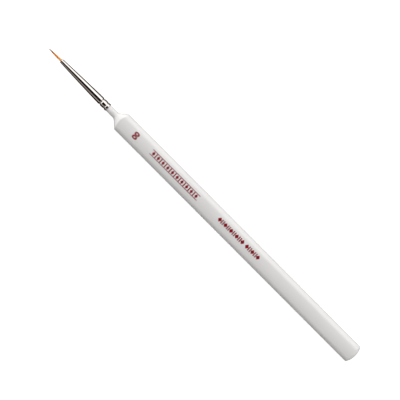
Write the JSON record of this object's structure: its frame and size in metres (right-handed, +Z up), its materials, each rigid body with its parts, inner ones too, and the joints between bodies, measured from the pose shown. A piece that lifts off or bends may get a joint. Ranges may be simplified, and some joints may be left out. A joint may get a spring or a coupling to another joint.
{
  "type": "fine detail paint brush",
  "caption": "Round fine-detail paint brush: pointed tuft of brown hairs, crimped nickel ferrule, white lacquered triangular handle with a domed end.",
  "frame": {"origin": "on the surface the brush lies on, under the middle of its length and its width", "axes": "+X from the tuft's point to the handle's end, +Z up out of the surface, +Y across the handle, away from the printed face"},
  "size_m": [0.185, 0.009, 0.0087],
  "materials": {
    "lacquer": "white gloss lacquer over fine wood",
    "nickel": "bright nickel plating with fine draw lines",
    "hair": "golden brown hair with dark points",
    "thread": "twisted polyester thread",
    "resin": "amber epoxy resin",
    "glue": "hardened wood glue",
    "ink": "maroon hot-stamped foil"
  },
  "bodies": {
    "root": {"handle": "lacquer", "ferrule": "nickel", "tenon_glue": "glue", "root_resin": "resin", "binding_thread": "thread", "tuft_root": "hair"},
    "heel": {"tuft_heel": "hair"},
    "belly": {"tuft_belly": "hair"},
    "taper": {"tuft_taper": "hair"},
    "point": {"tuft_point": "hair"}
  },
  "joints": [
    {"name": "heel_sway", "type": "hinge", "parent": "root", "child": "heel", "pos_m": [-0.0851, 0, 0.00392], "axis": [0, 0, 1], "range_deg": [-25, 25], "stiffness_Nm_per_rad": 0.0006},
    {"name": "belly_bend", "type": "hinge", "parent": "heel", "child": "belly", "pos_m": [-0.08673, 0, 0.00392], "axis": [0, 1, 0], "range_deg": [-25, 25], "stiffness_Nm_per_rad": 0.0005},
    {"name": "taper_sway", "type": "hinge", "parent": "belly", "child": "taper", "pos_m": [-0.08836, 0, 0.00392], "axis": [0, 0, 1], "range_deg": [-30, 30], "stiffness_Nm_per_rad": 0.0003},
    {"name": "point_bend", "type": "hinge", "parent": "taper", "child": "point", "pos_m": [-0.08984, 0, 0.00392], "axis": [0, 1, 0], "range_deg": [-30, 30], "stiffness_Nm_per_rad": 0.0001}
  ]
}
